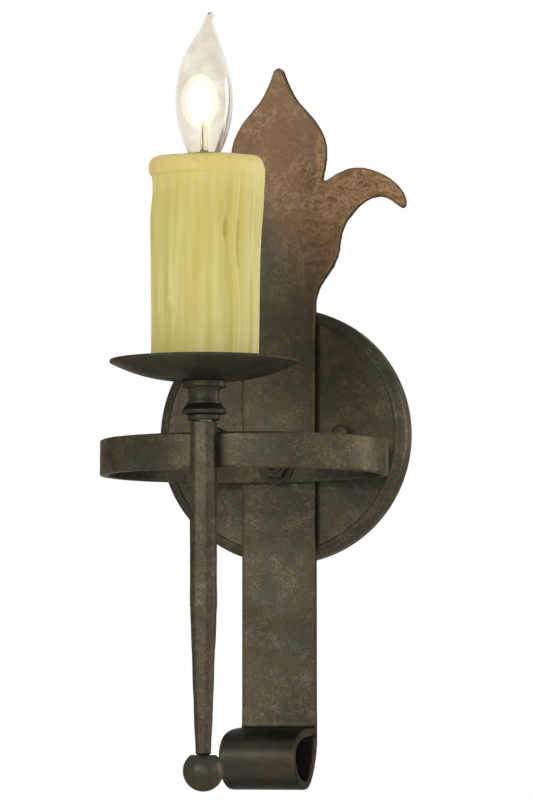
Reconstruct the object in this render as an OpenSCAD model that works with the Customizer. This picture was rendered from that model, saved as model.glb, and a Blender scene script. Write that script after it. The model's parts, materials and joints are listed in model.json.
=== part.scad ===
// Torch sconce: an iron strap with a cut fleur head and a scrolled foot, a band ring,
// and a tapered torch that carries a drip pan, a candle cover and a flame bulb.
// Millimetres. The wall is the plane Y = 0, the room is towards -Y, and Z is up.
// The origin is the centre of the wall plate, on the wall.

/* [Wall plate] */
// Diameter of the canopy that covers the outlet box
canopy_d = 152.4; // [130:0.2:180]
// How far the canopy's face stands off the wall
canopy_depth = 16; // [14:0.5:22]
// Wall of the canopy
canopy_wall = 1.2; // [0.8:0.1:2]
// Radius of the canopy's rounded shoulder
shoulder_r = 7; // [4:0.5:9]
// Width and depth of the groove that rings the canopy's face
groove = 1; // [0.4:0.1:1.1]
// Diameter of the mounting plate on the outlet box
plate_d = 104; // [96:1:116]
// Thickness of the mounting plate
plate_t = 1.6; // [1:0.1:2.5]
// Diameter of the wire hole in the mounting plate
plate_hole_d = 40; // [30:1:44]
// Spacing of the outlet-box slots, from centre to centre
box_spacing = 79.4; // [76:0.2:84]
// Width of an outlet-box slot
box_slot_w = 4.8; // [4.2:0.1:5.5]
// End-to-end length of an outlet-box slot
box_slot_len = 14.3; // [10:0.1:15]

/* [Canopy fasteners] */
// Spacing of the two threaded studs
stud_spacing = 76.2; // [72:0.2:84]
// Diameter of a stud
stud_d = 4.1; // [3:0.1:5]
// Diameter of a cap nut's ball
knob_d = 10; // [8:0.5:13]
// Diameter of the shank under the ball
knob_neck_d = 7; // [6:0.5:7.5]
// Length of the shank under the ball
knob_neck = 2; // [1:0.5:4]

/* [Strap] */
// Width of the strap
strap_w = 45.5; // [38:0.5:50]
// Thickness of the strap
strap_t = 5; // [4:0.5:6]
// Height of the fleur head, from its flare to the tip of its leaf
fleur_h = 142.3; // [120:0.1:160]
// Height above the origin at which the strap flares into the fleur
fleur_z = 77; // [70:0.5:90]
// Half the width of the middle leaf
leaf_w = 29.3; // [25:0.1:33]
// How far a side wing reaches from the middle
wing_reach = 78; // [70:0.5:88]
// Half the width of the waist under the wings
waist_w = 37.4; // [33:0.1:42]
// Depth below the origin at which the strap starts to curl
scroll_z = 172; // [150:1:190]
// Outer height of the scroll, from the start of the curl
scroll_h = 37; // [32:0.5:44]
// How far the scroll reaches in front of the strap's face
scroll_reach = 49; // [40:0.5:56]

/* [Ring] */
// Outer width of the ring from side to side
ring_w = 166; // [150:1:180]
// Outer depth of the ring from wall side to torch side
ring_depth = 149; // [130:1:149]
// Thickness of the ring's band
ring_t = 4.8; // [3:0.1:6]
// Height of the ring's band
ring_h = 20.4; // [18:0.2:26]
// Depth of the band's middle below the origin
ring_z = 18.6; // [16:0.2:22]

/* [Torch stem] */
// Width of the stem across its flats
stem_w = 14.4; // [14:0.1:16]
// Width of each wide flat of the stem
stem_flat = 7.2; // [6:0.1:8]
// Depth below the origin of the stem's top
stem_top = 2.7; // [2:0.1:4]
// Depth below the origin at which the stem starts to taper
taper_z = 106; // [90:1:120]
// Depth below the origin of the stem's lower end
stem_end = 187.5; // [170:0.5:200]
// Width of the stem at its lower end
stem_end_w = 8.8; // [8:0.1:11]
// Diameter of the ball at the stem's foot
ball_d = 22.6; // [20:0.2:26]

/* [Collar and pan] */
// Diameter of the collar's widest bead
bead_d = 25.2; // [24:0.1:30]
// Diameter of the collar's neck
neck_d = 18.3; // [16:0.1:21]
// Height of the collar from the stem's top to the pan
collar_h = 22.2; // [20:0.1:26]
// Diameter of the drip pan
pan_d = 104.4; // [96:0.2:120]
// Depth of the drip pan
pan_depth = 9.8; // [8:0.1:15]
// Wall of the drip pan
pan_wall = 1.5; // [1:0.1:2]
// Diameter of the flat seat in the middle of the pan
pan_seat_d = 26; // [25.5:0.5:30]

/* [Candle cover] */
// Diameter of the candle cover at its foot
candle_d = 59.3; // [56:0.1:64]
// Diameter of the rolled lip at the candle's top
candle_lip_d = 64.6; // [62:0.1:68]
// Height of the candle's top above the pan's seat
candle_h = 125.4; // [118:0.2:127]
// Wall of the candle cover
candle_wall = 3; // [2:0.1:4]
// Thickness of the candle cover's top
candle_roof = 5; // [3:0.5:6]
// Diameter of the hole for the bulb in the candle's top
candle_hole_d = 29; // [27:0.5:30]

/* [Socket and bulb] */
// Outer diameter of the socket's insulating body
socket_d = 22; // [20:0.5:22.5]
// Height of the socket's body
socket_h = 29; // [26:0.5:31]
// Diameter of the bulb's screw shell
base_d = 11.9; // [11.5:0.1:12]
// Height of the bulb's screw shell
base_h = 13; // [11:0.5:14]
// Widest diameter of the bulb's glass
glass_d = 31.8; // [28:0.2:34]
// Height of the bulb's glass
glass_h = 85; // [75:0.5:92]
// Sideways lean of the bulb's tip
glass_lean = 3.7; // [0:0.1:6]
// Wall of the bulb's glass
glass_wall = 0.8; // [0.6:0.1:1.2]

/* [Threaded fittings] */
// Outer diameter of a hollow threaded nipple
nipple_d = 9.7; // [9:0.1:10]
// Bore of a hollow threaded nipple
nipple_bore = 7; // [5:0.1:7.5]
// Width across flats of a nipple's nut
nut_af = 14.3; // [13:0.1:15]
// Thickness of a nipple's nut
nut_t = 4; // [3:0.1:5]
// Diameter of a nipple's washer
washer_d = 22.2; // [18:0.1:24]
// Thickness of a washer
washer_t = 1.2; // [0.8:0.1:1.6]

/* [Clearances] */
// Radial clearance of a fastener in its hole
fit = 0.05; // [0.02:0.01:0.1]
// Gap between faces that move past each other
slip = 0.3; // [0.2:0.05:0.4]

/* [Hidden] */

$fn = 96;
cut = 1;                                    // how far a cutter runs past what it cuts
steps = 12;                                 // points along each curve of an outline
clear_hole = 0.2;                           // extra radius of a hole that a screw passes

// Planes, from the wall to the room
face_y = -canopy_depth;                     // canopy's front, where the strap lies
canopy_in_y = face_y + canopy_wall;         // inside of the canopy's face
strap_y = face_y - strap_t;                 // front of the strap
ring_in_y = strap_y - ring_t;               // inside of the ring, at the strap
ring_mid_y = strap_y - ring_depth / 2;
ring_front_y = strap_y - ring_depth;
torch_y = ring_front_y - stem_w / 2;        // axis of the stem, the pan and the candle

// Levels
band_z = -ring_z;
stem_top_z = -stem_top;
pan_z = stem_top_z + collar_h;              // underside of the pan's seat
seat_z = pan_z + pan_wall;                  // top of the pan's seat
candle_top_z = seat_z + candle_h;
glass_sink = 5.4;                           // how far the glass's foot lies inside the candle
glass_z = candle_top_z - glass_sink;        // foot of the glass
base_z = glass_z - base_h;                  // foot of the bulb's screw shell
shell_show = 0.6;                           // screw shell that shows above the socket
socket_top_z = glass_z - shell_show;
socket_z = socket_top_z - socket_h;
wire_z = band_z + ring_h * 0.225;           // wire passage from the ring into the stem
screw_z = band_z - ring_h * 0.24;           // screw that holds the stem to the ring

// Fasteners
nut_r = nut_af / 2 / cos(30);
stud_reach = 5;                             // thread that a cap nut takes
stud_end_y = face_y - stud_reach;
knob_sink = 0.6;                            // how far the ball sinks onto its shank
stud_nut_af = 8.7;
stud_nut_t = 3;
ground_screw_r = stud_spacing / 2;
strap_screw_d = 4.1;
strap_screw_head_d = 8;
strap_screw_head_t = 2.8;
strap_screw_z = [26, -50];
strap_skin = 0.8;                           // metal left in front of the strap's screw holes
stem_screw_d = 4;
stem_screw_head_d = 7.4;
stem_screw_head_t = 2.4;
stem_screw_len = 8.5;
tenon_d = 5;
tenon_len = 8;
nipple_end = 1;                             // thread that shows past a nut
stem_nipple_in = 8.3;                       // thread that sits in the stem's top
wire_bore_d = 6;

// The washer in the ring stands off the band's curve, which starts beside its short flat
ring_in_r = ring_depth / 2 - ring_t;
ring_flat = (ring_w - ring_depth) / 2;
washer_over = max(washer_d / 2 - ring_flat, 0);
washer_stand = ring_in_r - sqrt(pow(ring_in_r, 2) - pow(washer_over, 2)) + slip / 6;
washer_y = ring_in_y - washer_stand;
ring_nipple_y0 = canopy_in_y + washer_t + nut_t + nipple_end;
ring_nipple_y1 = washer_y - washer_t - nut_t - nipple_end;

// Socket and its bracket
bracket_t = 1.2;
bracket_w = 10;
bracket_gap = 1.6;                          // from the nut or the socket to the leg
bracket_leg_x = max(nut_r, socket_d / 2) + bracket_gap;
stem_nipple_top_z = seat_z + 2 * nut_t + bracket_t + nipple_end;
rivet_d = 3.2;
rivet_head_d = 5.6;
rivet_head_t = 1.1;
socket_floor = 6;                           // thickness of the socket body's floor
shell_t = 0.4;                              // wall of the socket's and bulb's shells
shell_gap = 0.25;                           // radial gap between the two shells
shell_drop = 1;                             // socket's shell below its rim
socket_cavity_d = base_d + 2 * (shell_gap + shell_t + fit);
contact_t = 0.5;

// Bulb
thread_pitch = 2.5;
thread_depth = 0.5;                         // height of the thread on the shell's core
insulator_h = 3.6;
contact_h = 1.4;
contact_tip_z = base_z - insulator_h - contact_h;
glass_neck_r = base_d / 2 + 0.3;            // the glass just covers the shell's rim
mount_r = 2.1;
mount_h = glass_h * 0.27;

// Colours, as the finished metal looks
iron = [0.20, 0.16, 0.12];
iron_dark = [0.13, 0.11, 0.10];
zinc = [0.72, 0.72, 0.70];
brass = [0.78, 0.62, 0.32];
wax = [0.86, 0.83, 0.52];

// Points of a cubic curve through p[0] and p[3]
function bezier(p, n = steps) = [for (i = [0:n]) let (t = i / n)
    pow(1 - t, 3) * p[0] + 3 * pow(1 - t, 2) * t * p[1]
    + 3 * (1 - t) * t * t * p[2] + pow(t, 3) * p[3]];

// The same list without its first point, to chain curves
function rest(list) = [for (i = [1:len(list) - 1]) list[i]];
function reversed(list) = [for (i = [len(list) - 1:-1:0]) list[i]];

// A path's unit normal at point i, and the path moved sideways by d
function heading(p, i) = let (a = p[max(i - 1, 0)], b = p[min(i + 1, len(p) - 1)])
    (b - a) / norm(b - a);
function beside(p, d) = [for (i = [0:len(p) - 1]) let (h = heading(p, i))
    p[i] + d * [-h[1], h[0]]];

// Cylinder along Y from y0 to y1, which lies nearer the room
module along_y(d, y0, y1, x = 0, z = 0, sides = 96) {
    translate([x, y0, z]) rotate([90, 0, 0]) cylinder(d = d, h = y0 - y1, $fn = sides);
}

// Hexagonal nut along Y
module nut_y(af, bore, y0, t, x = 0, z = 0) {
    difference() {
        along_y(af / cos(30), y0, y0 - t, x, z, 6);
        along_y(bore, y0 + cut, y0 - t - cut, x, z);
    }
}

// Hexagonal nut along Z on the torch's axis
module nut_z(z0) {
    translate([0, torch_y, z0]) difference() {
        cylinder(r = nut_r, h = nut_t, $fn = 6);
        translate([0, 0, -cut]) cylinder(d = nipple_d + 2 * fit, h = nut_t + 2 * cut);
    }
}

// ---------------------------------------------------------------- wall plate

module mounting_plate() {
    slot_run = box_slot_len - box_slot_w;
    color(zinc) difference() {
        along_y(plate_d, 0, -plate_t);
        along_y(plate_hole_d, cut, -plate_t - cut);
        for (side = [-1, 1]) {
            along_y(stud_d + 2 * fit, cut, -plate_t - cut, side * stud_spacing / 2);
            translate([0, 0, side * box_spacing / 2]) {
                for (end = [-1, 1])
                    along_y(box_slot_w, cut, -plate_t - cut, 0, end * slot_run / 2);
                translate([-box_slot_w / 2, -plate_t - cut, -slot_run / 2])
                    cube([box_slot_w, plate_t + 2 * cut, slot_run]);
            }
        }
        ground_screw_place() along_y(stud_d + 2 * fit, cut, -plate_t - cut);
    }
}

module ground_screw_place() {
    translate([-ground_screw_r * cos(45), 0, -ground_screw_r * sin(45)]) children();
}

module ground_screw() {
    head_d = 8.4;
    head_t = 2.6;
    slot_w = 1.2;
    color([0.10, 0.42, 0.20]) ground_screw_place() difference() {
        union() {
            along_y(stud_d, 0, -plate_t - cut);
            along_y(head_d, -plate_t, -plate_t - head_t, sides = 6);
        }
        translate([-head_d / 2, -plate_t - head_t - cut, -slot_w / 2])
            cube([head_d, cut + slot_w, slot_w]);
    }
}

module mounting_studs() {
    color(zinc) for (side = [-1, 1])
        along_y(stud_d, 0, stud_end_y, side * stud_spacing / 2);
}

module stud_nuts() {
    color(zinc) for (side = [-1, 1])
        nut_y(stud_nut_af, stud_d + 2 * fit, -plate_t, stud_nut_t, side * stud_spacing / 2);
}

// Half section of a dish with a rounded shoulder: radius against depth
module dish_section(r, depth, corner) {
    square([r - corner, depth]);
    square([r, depth - corner]);
    translate([r - corner, depth - corner]) intersection() {
        circle(r = corner);
        square(corner);
    }
}

module canopy() {
    inner_r = canopy_d / 2 - canopy_wall;
    groove_r = canopy_d / 2 - shoulder_r + groove / 2;
    color(iron) difference() {
        rotate([90, 0, 0]) rotate_extrude($fn = 180) difference() {
            dish_section(canopy_d / 2, canopy_depth, shoulder_r);
            translate([0, -cut]) dish_section(inner_r, canopy_depth - canopy_wall + cut,
                shoulder_r - canopy_wall);
            translate([groove_r, canopy_depth]) circle(d = groove, $fn = 24);
        }
        for (side = [-1, 1])
            along_y(stud_d + 2 * clear_hole, 0, face_y - cut, side * stud_spacing / 2);
        for (z = strap_screw_z)
            along_y(strap_screw_d + 2 * clear_hole, 0, face_y - cut, 0, z);
        along_y(nipple_d + 2 * fit, 0, face_y - cut, 0, band_z);
    }
}

// A ball nut that turns on its stud by hand
module cap_nut(side) {
    seat_y = face_y - slip / 2;
    ball_y = seat_y - knob_neck - knob_d / 2 * cos(30) + knob_sink;
    color(iron) difference() {
        union() {
            along_y(knob_neck_d, seat_y, ball_y, side * stud_spacing / 2);
            translate([side * stud_spacing / 2, ball_y, 0]) sphere(d = knob_d);
        }
        along_y(stud_d + 2 * fit, seat_y + cut, stud_end_y - slip, side * stud_spacing / 2);
    }
}

module cap_nut_left() { cap_nut(-1); }
module cap_nut_right() { cap_nut(1); }

// --------------------------------------------------------------------- strap

// Right half of the fleur, from the strap's edge to the leaf's tip. The lengths across
// go with the waist, the wing and the leaf, and the heights with the fleur.
function fleur_half() = let (
        h = function (share) fleur_z + fleur_h * share,
        edge = strap_w / 2,
        waist = [waist_w, h(0.247)],
        arch = [wing_reach * 0.776, h(0.443)],
        tip_low = [wing_reach * 0.972, h(0.387)],
        tip = [wing_reach, h(0.4)],
        crown = [wing_reach * 0.596, h(0.568)],
        notch = [leaf_w * 0.835, h(0.502)],
        bulge = [leaf_w, h(0.63)],
        shoulder = [leaf_w * 0.485, h(0.836)],
        point = [leaf_w * 0.092, h(0.990)])
    concat(
        bezier([[edge, h(0)], [edge, h(0.10)], [waist_w * 0.984, h(0.14)], waist]),
        rest(bezier([waist, [waist_w * 1.013, h(0.336)], [wing_reach * 0.635, h(0.433)], arch])),
        rest(bezier([arch, [wing_reach * 0.846, h(0.448)],
            [wing_reach * 0.912, h(0.41)], tip_low])),
        [tip],
        rest(bezier([tip, [wing_reach * 1.01, h(0.49)], [wing_reach * 0.775, h(0.569)],
            crown])),
        rest(bezier([crown, [wing_reach * 0.495, h(0.566)], [leaf_w * 1.06, h(0.521)],
            notch])),
        rest(bezier([notch, [leaf_w * 0.945, h(0.523)], [leaf_w * 0.985, h(0.58)],
            bulge])),
        rest(bezier([bulge, [leaf_w * 1.03, h(0.713)], [leaf_w * 0.744, h(0.78)],
            shoulder])),
        rest(bezier([shoulder, [leaf_w * 0.307, h(0.875)], [leaf_w * 0.195, h(0.934)],
            point])),
        [[0, h(1)]]);

// The middle line of the curl, as depth from the wall against height
function curl_path() = let (
        mid_y = face_y - strap_t / 2,
        half = strap_t / 2,
        start_z = -scroll_z,
        bend_z = -scroll_z - scroll_h * 0.2,
        low_z = -scroll_z - scroll_h + half,
        low_y = strap_y - scroll_reach * 0.43,
        nose = [strap_y - scroll_reach + half, -scroll_z - scroll_h * 0.49],
        end = [strap_y - 2 * slip, -scroll_z - scroll_h * 0.09])
    concat(
        [[mid_y, start_z + cut]],
        bezier([[mid_y, bend_z], [mid_y, bend_z - scroll_h * 0.22],
            [mid_y - scroll_reach * 0.194, low_z], [low_y, low_z]]),
        rest(bezier([[low_y, low_z], [low_y - scroll_reach * 0.286, low_z],
            [nose[0], nose[1] - scroll_h * 0.24], nose])),
        rest(bezier([nose, [nose[0], nose[1] + scroll_h * 0.25],
            [nose[0] + scroll_reach * 0.2, end[1]], end])));

module strap() {
    half = fleur_half();
    curl = curl_path();
    mirrored = [for (p = reversed(half)) [-p[0], p[1]]];
    color(iron) difference() {
        union() {
            translate([0, face_y, 0]) rotate([90, 0, 0]) linear_extrude(strap_t)
                polygon(concat([[-strap_w / 2, -scroll_z], [strap_w / 2, -scroll_z]],
                    half, rest(mirrored)));
            translate([-strap_w / 2, 0, 0]) rotate([90, 0, 90]) linear_extrude(strap_w)
                polygon(concat(beside(curl, strap_t / 2),
                    reversed(beside(curl, -strap_t / 2))));
        }
        along_y(nipple_d + 2 * fit, face_y + cut, strap_y - cut, 0, band_z);
        for (z = strap_screw_z)
            along_y(strap_screw_d + 2 * fit, face_y + cut, strap_y + strap_skin, 0, z);
    }
}

// Two pan-head screws from inside the canopy keep the strap from turning
module strap_screws() {
    color(zinc) for (z = strap_screw_z) {
        along_y(strap_screw_d, canopy_in_y + cut / 2, strap_y + strap_skin + slip, 0, z);
        along_y(strap_screw_head_d, canopy_in_y + strap_screw_head_t, canopy_in_y, 0, z);
    }
}

// ---------------------------------------------------------------------- ring

// Two half rounds joined by short flats at the strap and at the torch
module ring_outline(inset) {
    r = ring_depth / 2 - inset;
    for (side = [-1, 1])
        translate([side * ring_flat, 0]) circle(r = r, $fn = 180);
    square([2 * ring_flat, 2 * r], center = true);
}

module ring_band() {
    color(iron) difference() {
        translate([0, ring_mid_y, band_z - ring_h / 2]) linear_extrude(ring_h)
            difference() {
                ring_outline(0);
                ring_outline(ring_t);
            }
        along_y(nipple_d + 2 * fit, strap_y + cut, ring_in_y - cut, 0, band_z);
        along_y(wire_bore_d, ring_front_y + ring_t + cut, ring_front_y - cut, 0, wire_z);
        along_y(stem_screw_d + 2 * clear_hole, ring_front_y + ring_t + cut,
            ring_front_y - cut, 0, screw_z);
    }
}

// Hollow nipple that clamps the canopy, the strap and the ring, and passes the wires
module ring_nipple() {
    color(zinc) difference() {
        along_y(nipple_d, ring_nipple_y0, ring_nipple_y1, 0, band_z);
        along_y(nipple_bore, ring_nipple_y0 + cut, ring_nipple_y1 - cut, 0, band_z);
    }
}

module washer(y0) {
    difference() {
        along_y(washer_d, y0, y0 - washer_t, 0, band_z);
        along_y(nipple_d + 2 * fit, y0 + cut, y0 - washer_t - cut, 0, band_z);
    }
}

module canopy_washer() { color(zinc) washer(canopy_in_y + washer_t); }

module canopy_nut() {
    color(zinc) nut_y(nut_af, nipple_d + 2 * fit, canopy_in_y + washer_t + nut_t, nut_t,
        0, band_z);
}

module ring_washer() { color(iron_dark) washer(washer_y); }

module ring_nut() {
    color(iron_dark) nut_y(nut_af, nipple_d + 2 * fit, washer_y - washer_t, nut_t, 0, band_z);
}

// --------------------------------------------------------------------- torch

// Square bar with its corners cut off
module bar_section(w, flat) {
    a = w / 2;
    b = flat / 2;
    polygon([[a, -b], [a, b], [b, a], [-b, a], [-a, b], [-a, -b], [-b, -a], [b, -a]]);
}

module torch_stem() {
    grow = stem_w / stem_end_w;
    nipple_foot_z = stem_top_z - stem_nipple_in;
    color(iron) difference() {
        translate([0, torch_y, 0]) {
            translate([0, 0, -taper_z]) linear_extrude(taper_z - stem_top)
                bar_section(stem_w, stem_flat);
            translate([0, 0, -stem_end]) linear_extrude(stem_end - taper_z, scale = grow)
                bar_section(stem_end_w, stem_flat / grow);
            translate([0, 0, -stem_end - tenon_len]) cylinder(d = tenon_d,
                h = tenon_len + cut);
        }
        translate([0, torch_y, nipple_foot_z]) cylinder(d = nipple_d + 2 * fit,
            h = stem_nipple_in + cut);
        translate([0, torch_y, wire_z]) cylinder(d = wire_bore_d,
            h = nipple_foot_z - wire_z + cut);
        along_y(wire_bore_d, ring_front_y + cut, torch_y - wire_bore_d / 4, 0, wire_z);
        along_y(stem_screw_d + 2 * fit, ring_front_y + cut,
            ring_front_y - stem_screw_len - slip, 0, screw_z);
    }
}

module stem_screw() {
    head_y = ring_front_y + ring_t;
    color(zinc) {
        along_y(stem_screw_d, head_y + cut / 2, ring_front_y - stem_screw_len, 0, screw_z);
        along_y(stem_screw_head_d, head_y + stem_screw_head_t, head_y, 0, screw_z);
    }
}

module finial_ball() {
    flat_r = stem_end_w * 0.8;
    drop = sqrt(pow(ball_d / 2, 2) - pow(flat_r, 2));
    color(iron) translate([0, torch_y, -stem_end - drop]) difference() {
        sphere(d = ball_d);
        translate([-ball_d, -ball_d, drop]) cube(2 * ball_d);
        translate([0, 0, drop - tenon_len - slip])
            cylinder(d = tenon_d + 2 * fit, h = tenon_len + slip + cut);
    }
}

// Collar turned from round bar: a foot ring, a flared bead, a neck and a top ring
module turned_collar() {
    foot_h = collar_h * 0.15;
    bead_h = collar_h * 0.275;
    line_h = collar_h * 0.035;
    top_h = collar_h * 0.185;
    neck = neck_d / 2;
    bead = bead_d / 2;
    out = bead - neck;
    line = neck + out * 0.17;
    neck_z = foot_h + bead_h + line_h;
    top_z = collar_h - top_h;
    top_r = bead - out * 0.09;
    edge = 0.6;
    profile = concat(
        [[0, 0], [neck - edge, 0], [neck, edge], [neck, foot_h - edge],
            [neck - edge / 2, foot_h]],
        bezier([[bead - out * 0.35, foot_h], [bead + out * 0.12, foot_h + bead_h * 0.02],
            [bead + out * 0.1, foot_h + bead_h * 0.34],
            [bead - out * 0.14, foot_h + bead_h * 0.5]]),
        rest(bezier([[bead - out * 0.14, foot_h + bead_h * 0.5],
            [bead - out * 0.45, foot_h + bead_h * 0.68],
            [line + out * 0.16, foot_h + bead_h * 0.84], [line, foot_h + bead_h]])),
        [[line, neck_z], [neck, neck_z]],
        bezier([[neck, neck_z], [neck - out * 0.26, neck_z + (top_z - neck_z) * 0.4],
            [neck - out * 0.12, top_z - line_h * 2], [neck + out * 0.09, top_z - line_h]]),
        [[line, top_z - line_h], [line, top_z], [top_r - edge, top_z],
            [top_r, top_z + edge], [top_r, collar_h - edge], [top_r - edge, collar_h],
            [0, collar_h]]);
    color(iron_dark) translate([0, torch_y, stem_top_z]) difference() {
        rotate_extrude() polygon(profile);
        translate([0, 0, -cut]) cylinder(d = nipple_d + 2 * fit, h = collar_h + 2 * cut);
    }
}

module stem_nipple() {
    foot_z = stem_top_z - stem_nipple_in;
    color(zinc) translate([0, torch_y, foot_z]) difference() {
        cylinder(d = nipple_d, h = stem_nipple_top_z - foot_z);
        translate([0, 0, -cut])
            cylinder(d = nipple_bore, h = stem_nipple_top_z - foot_z + 2 * cut);
    }
}

// Height of the pan's underside above its seat, at radius r
function pan_rise(r) = let (seat = pan_seat_d / 2)
    pan_depth * pow(max(r - seat, 0) / (pan_d / 2 - seat), 2);

module drip_pan() {
    seat = pan_seat_d / 2;
    rim = pan_d / 2;
    radii = [for (i = [0:2 * steps]) seat + (rim - seat) * i / (2 * steps)];
    color(iron_dark) translate([0, torch_y, pan_z]) rotate_extrude($fn = 144)
        polygon(concat(
            [[nipple_d / 2 + fit, 0]],
            [for (r = radii) [r, pan_rise(r)]],
            [[rim + pan_wall / 6, pan_depth + pan_wall / 2]],
            [for (r = reversed(radii)) [r, pan_rise(r) + pan_wall]],
            [[nipple_d / 2 + fit, pan_wall]]));
}

module pan_nut() { color(zinc) nut_z(seat_z); }
module bracket_nut() { color(zinc) nut_z(seat_z + nut_t + bracket_t); }

// ------------------------------------------------------------ socket and bulb

// A strip bent to a C: a foot on the nipple, a leg, and a tab under the socket
module socket_bracket() {
    foot_z = seat_z + nut_t;
    reach = bracket_leg_x + bracket_t;
    tab_back = 5;
    color(zinc) translate([0, torch_y, 0]) difference() {
        union() {
            translate([0, 0, foot_z]) cylinder(d = nut_af, h = bracket_t);
            translate([0, -bracket_w / 2, foot_z]) cube([reach, bracket_w, bracket_t]);
            translate([bracket_leg_x, -bracket_w / 2, foot_z])
                cube([bracket_t, bracket_w, socket_z - foot_z]);
            translate([-tab_back, -bracket_w / 2, socket_z - bracket_t])
                cube([reach + tab_back, bracket_w, bracket_t]);
        }
        translate([0, 0, foot_z - cut])
            cylinder(d = nipple_d + 2 * fit, h = bracket_t + 2 * cut);
        translate([0, 0, socket_z - bracket_t - cut])
            cylinder(d = rivet_d + 2 * fit, h = bracket_t + 2 * cut);
    }
}

module socket_rivet() {
    color(brass) translate([0, torch_y, 0]) {
        translate([0, 0, socket_z - bracket_t - rivet_head_t])
            cylinder(d = rivet_head_d, h = rivet_head_t);
        translate([0, 0, socket_z - bracket_t - rivet_head_t])
            cylinder(d = rivet_d, h = rivet_head_t + bracket_t + socket_floor);
    }
}

module socket_body() {
    color([0.10, 0.09, 0.08]) translate([0, torch_y, socket_z]) difference() {
        cylinder(d = socket_d, h = socket_h);
        translate([0, 0, socket_floor])
            cylinder(d = socket_cavity_d, h = socket_h);
        translate([0, 0, -cut]) cylinder(d = rivet_d + 2 * fit, h = socket_h);
    }
}

module socket_shell() {
    inner_d = base_d + 2 * shell_gap;
    color(brass) translate([0, torch_y, socket_top_z - shell_drop - base_h]) difference() {
        cylinder(d = inner_d + 2 * shell_t, h = base_h);
        translate([0, 0, -cut]) cylinder(d = inner_d, h = base_h + 2 * cut);
    }
}

// A springy tongue on the rivet's head, under the bulb's tip
module socket_contact() {
    foot_z = socket_z + socket_floor;
    rise = contact_tip_z - slip - foot_z;
    half = socket_cavity_d / 2 - 1;
    tongue_w = 4;
    path = concat([[-half, contact_t / 2], [half * 0.5, contact_t / 2]],
        rest(bezier([[half * 0.5, contact_t / 2], [half, contact_t / 2],
            [half * 0.8, rise - contact_t], [0, rise - contact_t / 2]], 8)),
        [[-half * 0.5, rise - contact_t]]);
    color(brass) translate([0, torch_y + tongue_w / 2, foot_z]) rotate([90, 0, 0])
        linear_extrude(tongue_w)
            polygon(concat(beside(path, contact_t / 2),
                reversed(beside(path, -contact_t / 2))));
}

// The thread is drawn as shallow round ridges on the shell's core
module bulb_base() {
    core_d = base_d - 2 * thread_depth;
    ridge_r = thread_depth * 1.6;
    color(brass) translate([0, torch_y, base_z]) difference() {
        union() {
            cylinder(d = core_d, h = base_h);
            for (i = [0:floor(base_h / thread_pitch) - 1])
                translate([0, 0, (i + 0.5) * thread_pitch]) rotate_extrude()
                    translate([base_d / 2 - ridge_r, 0]) circle(r = ridge_r, $fn = 16);
        }
        translate([0, 0, -cut]) cylinder(d = core_d - 2 * shell_t, h = base_h + 2 * cut);
    }
}

module bulb_insulator() {
    color([0.05, 0.05, 0.06]) translate([0, torch_y, base_z - insulator_h])
        cylinder(d1 = base_d * 0.42, d2 = base_d * 0.88, h = insulator_h);
}

module bulb_contact() {
    color(zinc) translate([0, torch_y, contact_tip_z])
        cylinder(d1 = base_d * 0.22, d2 = base_d * 0.37, h = contact_h);
}

// Flame outline: radius against height above the glass's foot
function flame() = let (
        r = glass_d / 2,
        h = glass_h)
    concat(
        bezier([[glass_neck_r, 0], [r * 0.69, h * 0.112], [r, h * 0.224],
            [r, h * 0.419]], 10),
        rest(bezier([[r, h * 0.419], [r, h * 0.647], [r * 0.60, h * 0.765],
            [r * 0.226, h * 0.906]], 10)),
        rest(bezier([[r * 0.226, h * 0.906], [r * 0.18, h * 0.95],
            [r * 0.14, h], [r * 0.02, h]], 4)));

// The tip leans over the last part of the height
function lean(z) = glass_lean * pow(max(z - glass_h * 0.64, 0) / (glass_h * 0.36), 1.8);

// Closed loft through round sections, its middle moved by the lean
module leaning_loft(profile, sides = 28) {
    rows = len(profile);
    points = concat(
        [for (p = profile) for (k = [0:sides - 1])
            [p[0] * cos(360 * k / sides) + lean(p[1]), p[0] * sin(360 * k / sides), p[1]]],
        [[lean(profile[0][1]), 0, profile[0][1]],
            [lean(profile[rows - 1][1]), 0, profile[rows - 1][1]]]);
    foot = rows * sides;
    faces = concat(
        [for (j = [0:rows - 2]) for (k = [0:sides - 1]) let (n = (k + 1) % sides)
            each [[j * sides + k, (j + 1) * sides + k, (j + 1) * sides + n],
                [j * sides + k, (j + 1) * sides + n, j * sides + n]]],
        [for (k = [0:sides - 1]) [foot, k, (k + 1) % sides]],
        [for (k = [0:sides - 1]) [foot + 1, (rows - 1) * sides + (k + 1) % sides,
            (rows - 1) * sides + k]]);
    polyhedron(points, faces, convexity = 4);
}

module bulb_glass() {
    outer = flame();
    last = len(outer) - 2;
    inner = concat([[outer[0][0] - glass_wall, -cut]],
        [for (i = [0:last]) [max(outer[i][0] - glass_wall, 0.4),
            min(outer[i][1], glass_h - 2 * glass_wall)]]);
    color([0.92, 0.93, 0.92, 0.4]) translate([0, torch_y, glass_z]) difference() {
        leaning_loft(outer);
        leaning_loft([for (i = [0:len(inner) - 3]) inner[i]]);
    }
}

// Glass stem inside the bulb that carries the filament's wires
module bulb_mount() {
    flare_r = glass_neck_r - glass_wall - slip;
    color([0.85, 0.88, 0.88, 0.5]) translate([0, torch_y, glass_z]) {
        cylinder(r = flare_r, h = 1);
        cylinder(r1 = flare_r, r2 = mount_r, h = mount_h * 0.32);
        cylinder(r = mount_r, h = mount_h);
    }
}

// Straight round rod from p to q
module rod(p, q, r) {
    v = q - p;
    translate(p) rotate([0, acos(v[2] / norm(v)), atan2(v[1], v[0])])
        cylinder(r = r, h = norm(v), $fn = 16);
}

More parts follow.
